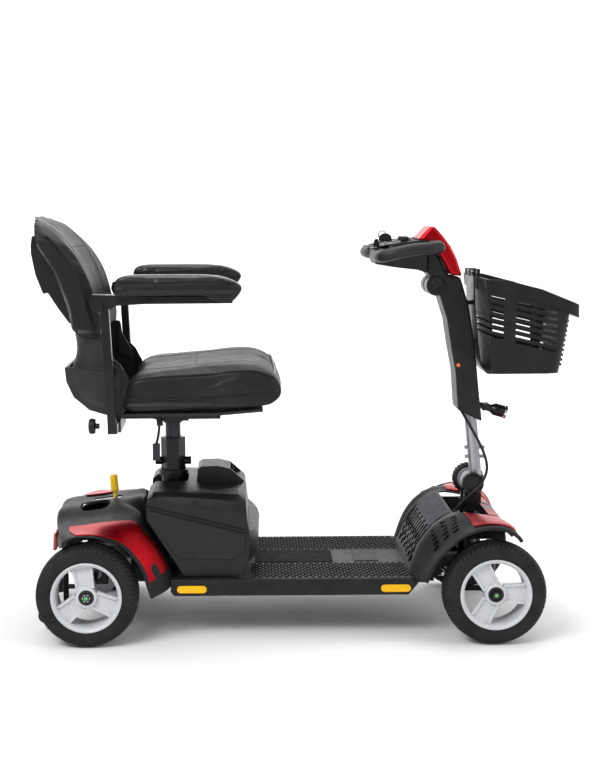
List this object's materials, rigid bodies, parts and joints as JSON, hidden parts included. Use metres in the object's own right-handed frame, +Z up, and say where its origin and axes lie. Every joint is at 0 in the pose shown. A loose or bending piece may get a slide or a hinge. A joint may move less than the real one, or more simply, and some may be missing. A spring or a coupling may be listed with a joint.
{
  "type": "mobility scooter",
  "caption": "Compact travel mobility scooter with folding tiller, wrap-round grips, front basket, swivel seat with flip-up armrests and a lift-off battery pack on spoked wheels.",
  "frame": {"origin": "on the ground below the middle of the overall box", "axes": "+X forward, +Y to the rider's left, +Z up"},
  "size_m": [1.196, 0.562, 0.915],
  "materials": {
    "tyre_rubber": "moulded tread, matt",
    "rim_white": "satin white moulding",
    "red_panel": "metallic glossy red skin",
    "black_shroud": "fine-grained black moulding",
    "console_grey": "grained charcoal moulding",
    "frame_paint": "semi-gloss black powder coat",
    "bright_steel": "bright zinc-plated",
    "cast_aluminium": "cast housing",
    "tube_alu": "satin anodised tube",
    "vinyl": "black upholstery vinyl",
    "grip_foam": "soft grip",
    "amber_lens": "prismatic reflector",
    "lever_yellow": "ribbed moulding",
    "basket_plastic": "matt black moulding",
    "battery_plastic": "dark moulding with glossy panels",
    "pearl_grey": "light grey moulding"
  },
  "bodies": {
    "chassis": {"rear_frame": "frame_paint", "front_frame": "frame_paint", "floor_pan": "black_shroud", "reflectors": "amber_lens", "front_shroud": "black_shroud", "front_panels": "red_panel", "rear_shroud": "black_shroud", "rear_fender_panels": "red_panel", "transaxle": "cast_aluminium", "drive_motor": "frame_paint", "seat_socket": "frame_paint"},
    "anti_tip": {"anti_tip_wheels": "grip_foam"},
    "steering": {"steering_stem": "frame_paint", "steering_boot": "grip_foam"},
    "fold_lock": {"fold_knob": "black_shroud"},
    "tiller": {"tiller_mast": "tube_alu", "tiller_shroud": "console_grey", "console_housing": "console_grey", "console_cover": "red_panel", "handlebar": "grip_foam", "head_barrel": "pearl_grey", "mast_brackets": "frame_paint", "wiring_loom": "grip_foam"},
    "throttle": {"throttle_lever": "pearl_grey"},
    "dial": {"speed_dial": "pearl_grey"},
    "key": {"ignition_key": "bright_steel"},
    "horn": {"horn_button": "pearl_grey"},
    "headlamp": {"headlight": "black_shroud"},
    "carrier_basket": {"basket": "basket_plastic"},
    "post": {"seat_post": "bright_steel"},
    "seat": {"swivel_bracket": "frame_paint", "seat_pan": "console_grey", "seat_cushion": "vinyl"},
    "seat_release": {"swivel_lever": "bright_steel"},
    "backrest": {"back_shell": "black_shroud", "back_cushion": "vinyl"},
    "battery_pack": {"battery_case": "battery_plastic", "battery_lid": "battery_plastic", "battery_cells": "black_shroud"},
    "freewheel": {"freewheel_lever": "lever_yellow"},
    "rear_wheel_left": {"rear_axle_left": "bright_steel", "rear_rim_left": "rim_white", "rear_tyre_left": "tyre_rubber"},
    "knuckle_left": {"steering_knuckle_left": "frame_paint"},
    "front_wheel_left": {"front_hub_left": "frame_paint", "front_rim_left": "rim_white", "front_tyre_left": "tyre_rubber"},
    "track_rod_left": {"tie_rod_left": "bright_steel"},
    "arm_stem_left": {"armrest_upright_left": "frame_paint"},
    "arm_pad_left": {"armrest_left": "vinyl"},
    "rear_wheel_right": {"rear_axle_right": "bright_steel", "rear_rim_right": "rim_white", "rear_tyre_right": "tyre_rubber"},
    "knuckle_right": {"steering_knuckle_right": "frame_paint"},
    "front_wheel_right": {"front_hub_right": "frame_paint", "front_rim_right": "rim_white", "front_tyre_right": "tyre_rubber"},
    "track_rod_right": {"tie_rod_right": "bright_steel"},
    "arm_stem_right": {"armrest_upright_right": "frame_paint"},
    "arm_pad_right": {"armrest_right": "vinyl"}
  },
  "joints": [
    {"name": "rear_axle_spin_left", "type": "hinge", "parent": "chassis", "child": "rear_wheel_left", "pos_m": [-0.482, 0.214, 0.1115], "axis": [0, 1, 0], "continuous": true},
    {"name": "rear_axle_spin_right", "type": "hinge", "parent": "chassis", "child": "rear_wheel_right", "pos_m": [-0.482, -0.214, 0.1115], "axis": [0, 1, 0], "continuous": true},
    {"name": "anti_tip_spin", "type": "hinge", "parent": "chassis", "child": "anti_tip", "pos_m": [-0.587, 0, 0.036], "axis": [0, 1, 0], "continuous": true},
    {"name": "steering_turn", "type": "hinge", "parent": "chassis", "child": "steering", "pos_m": [0.372, 0, 0.2], "axis": [0, 0, 1], "range_deg": [-35, 35]},
    {"name": "kingpin_left", "type": "hinge", "parent": "chassis", "child": "knuckle_left", "pos_m": [0.394, 0.15, 0.15], "axis": [0, 0, 1], "range_deg": [-35, 35]},
    {"name": "front_wheel_spin_left", "type": "hinge", "parent": "knuckle_left", "child": "front_wheel_left", "pos_m": [0.394, 0.216, 0.1115], "axis": [0, 1, 0], "continuous": true},
    {"name": "track_rod_pivot_left", "type": "hinge", "parent": "steering", "child": "track_rod_left", "pos_m": [0.312, 0, 0.1], "axis": [0, 0, 1], "range_deg": [-35, 35]},
    {"name": "kingpin_right", "type": "hinge", "parent": "chassis", "child": "knuckle_right", "pos_m": [0.394, -0.15, 0.15], "axis": [0, 0, 1], "range_deg": [-35, 35]},
    {"name": "front_wheel_spin_right", "type": "hinge", "parent": "knuckle_right", "child": "front_wheel_right", "pos_m": [0.394, -0.216, 0.1115], "axis": [0, 1, 0], "continuous": true},
    {"name": "track_rod_pivot_right", "type": "hinge", "parent": "steering", "child": "track_rod_right", "pos_m": [0.312, 0, 0.1], "axis": [0, 0, 1], "range_deg": [-35, 35]},
    {"name": "tiller_fold", "type": "hinge", "parent": "steering", "child": "tiller", "pos_m": [0.38, 0, 0.308], "axis": [0, -1, 0], "range_deg": [-5, 24], "deforming": ["wiring_loom"]},
    {"name": "fold_knob_turn", "type": "hinge", "parent": "steering", "child": "fold_lock", "pos_m": [0.38, 0.042, 0.308], "axis": [0, 1, 0], "range_deg": [0, 180]},
    {"name": "throttle_swing", "type": "hinge", "parent": "tiller", "child": "throttle", "pos_m": [0.178, 0, 0.847], "axis": [0, 0, 1], "range_deg": [-15, 15], "stiffness_Nm_per_rad": 0.6},
    {"name": "speed_dial_turn", "type": "hinge", "parent": "tiller", "child": "dial", "pos_m": [0.221, -0.018, 0.865], "axis": [0, 0, 1], "range_deg": [-135, 135]},
    {"name": "key_turn", "type": "hinge", "parent": "tiller", "child": "key", "pos_m": [0.179, -0.032, 0.86], "axis": [0, 0, 1], "range_deg": [0, 90]},
    {"name": "horn_press", "type": "slide", "parent": "tiller", "child": "horn", "axis": [0, 0, -1], "range_m": [0, 0.003], "stiffness_N_per_m": 400},
    {"name": "headlamp_tilt", "type": "hinge", "parent": "tiller", "child": "headlamp", "pos_m": [0.414, 0, 0.48], "axis": [0, 1, 0], "range_deg": [-30, 30]},
    {"name": "basket_lift", "type": "slide", "parent": "tiller", "child": "carrier_basket", "axis": [0, 0, 1], "range_m": [0, 0.06]},
    {"name": "seat_height", "type": "slide", "parent": "chassis", "child": "post", "axis": [0, 0, 1], "range_m": [0, 0.05]},
    {"name": "seat_swivel", "type": "hinge", "parent": "post", "child": "seat", "pos_m": [-0.3035, 0, 0.455], "axis": [0, 0, 1], "continuous": true},
    {"name": "swivel_release", "type": "hinge", "parent": "seat", "child": "seat_release", "pos_m": [-0.33, -0.0645, 0.461], "axis": [0, 1, 0], "range_deg": [0, 15], "stiffness_Nm_per_rad": 1},
    {"name": "backrest_fold", "type": "hinge", "parent": "seat", "child": "backrest", "pos_m": [-0.424, 0, 0.592], "axis": [0, 1, 0], "range_deg": [0, 75]},
    {"name": "arm_width_left", "type": "slide", "parent": "seat", "child": "arm_stem_left", "axis": [0, 1, 0], "range_m": [0, 0.05]},
    {"name": "arm_lift_left", "type": "hinge", "parent": "arm_stem_left", "child": "arm_pad_left", "pos_m": [-0.44, 0.24, 0.738], "axis": [0, -1, 0], "range_deg": [0, 100]},
    {"name": "arm_width_right", "type": "slide", "parent": "seat", "child": "arm_stem_right", "axis": [0, -1, 0], "range_m": [0, 0.05]},
    {"name": "arm_lift_right", "type": "hinge", "parent": "arm_stem_right", "child": "arm_pad_right", "pos_m": [-0.44, -0.24, 0.738], "axis": [0, -1, 0], "range_deg": [0, 100]},
    {"name": "battery_lift", "type": "slide", "parent": "chassis", "child": "battery_pack", "axis": [0, 0, 1], "range_m": [0, 0.028]},
    {"name": "freewheel_throw", "type": "hinge", "parent": "chassis", "child": "freewheel", "pos_m": [-0.432, 0, 0.184], "axis": [0, -1, 0], "range_deg": [0, 25]}
  ],
  "couplings": [
    {"joint": "kingpin_left", "follows": "steering_turn", "ratio": 1},
    {"joint": "track_rod_pivot_left", "follows": "steering_turn", "ratio": -1},
    {"joint": "kingpin_right", "follows": "steering_turn", "ratio": 1},
    {"joint": "track_rod_pivot_right", "follows": "steering_turn", "ratio": -1}
  ]
}
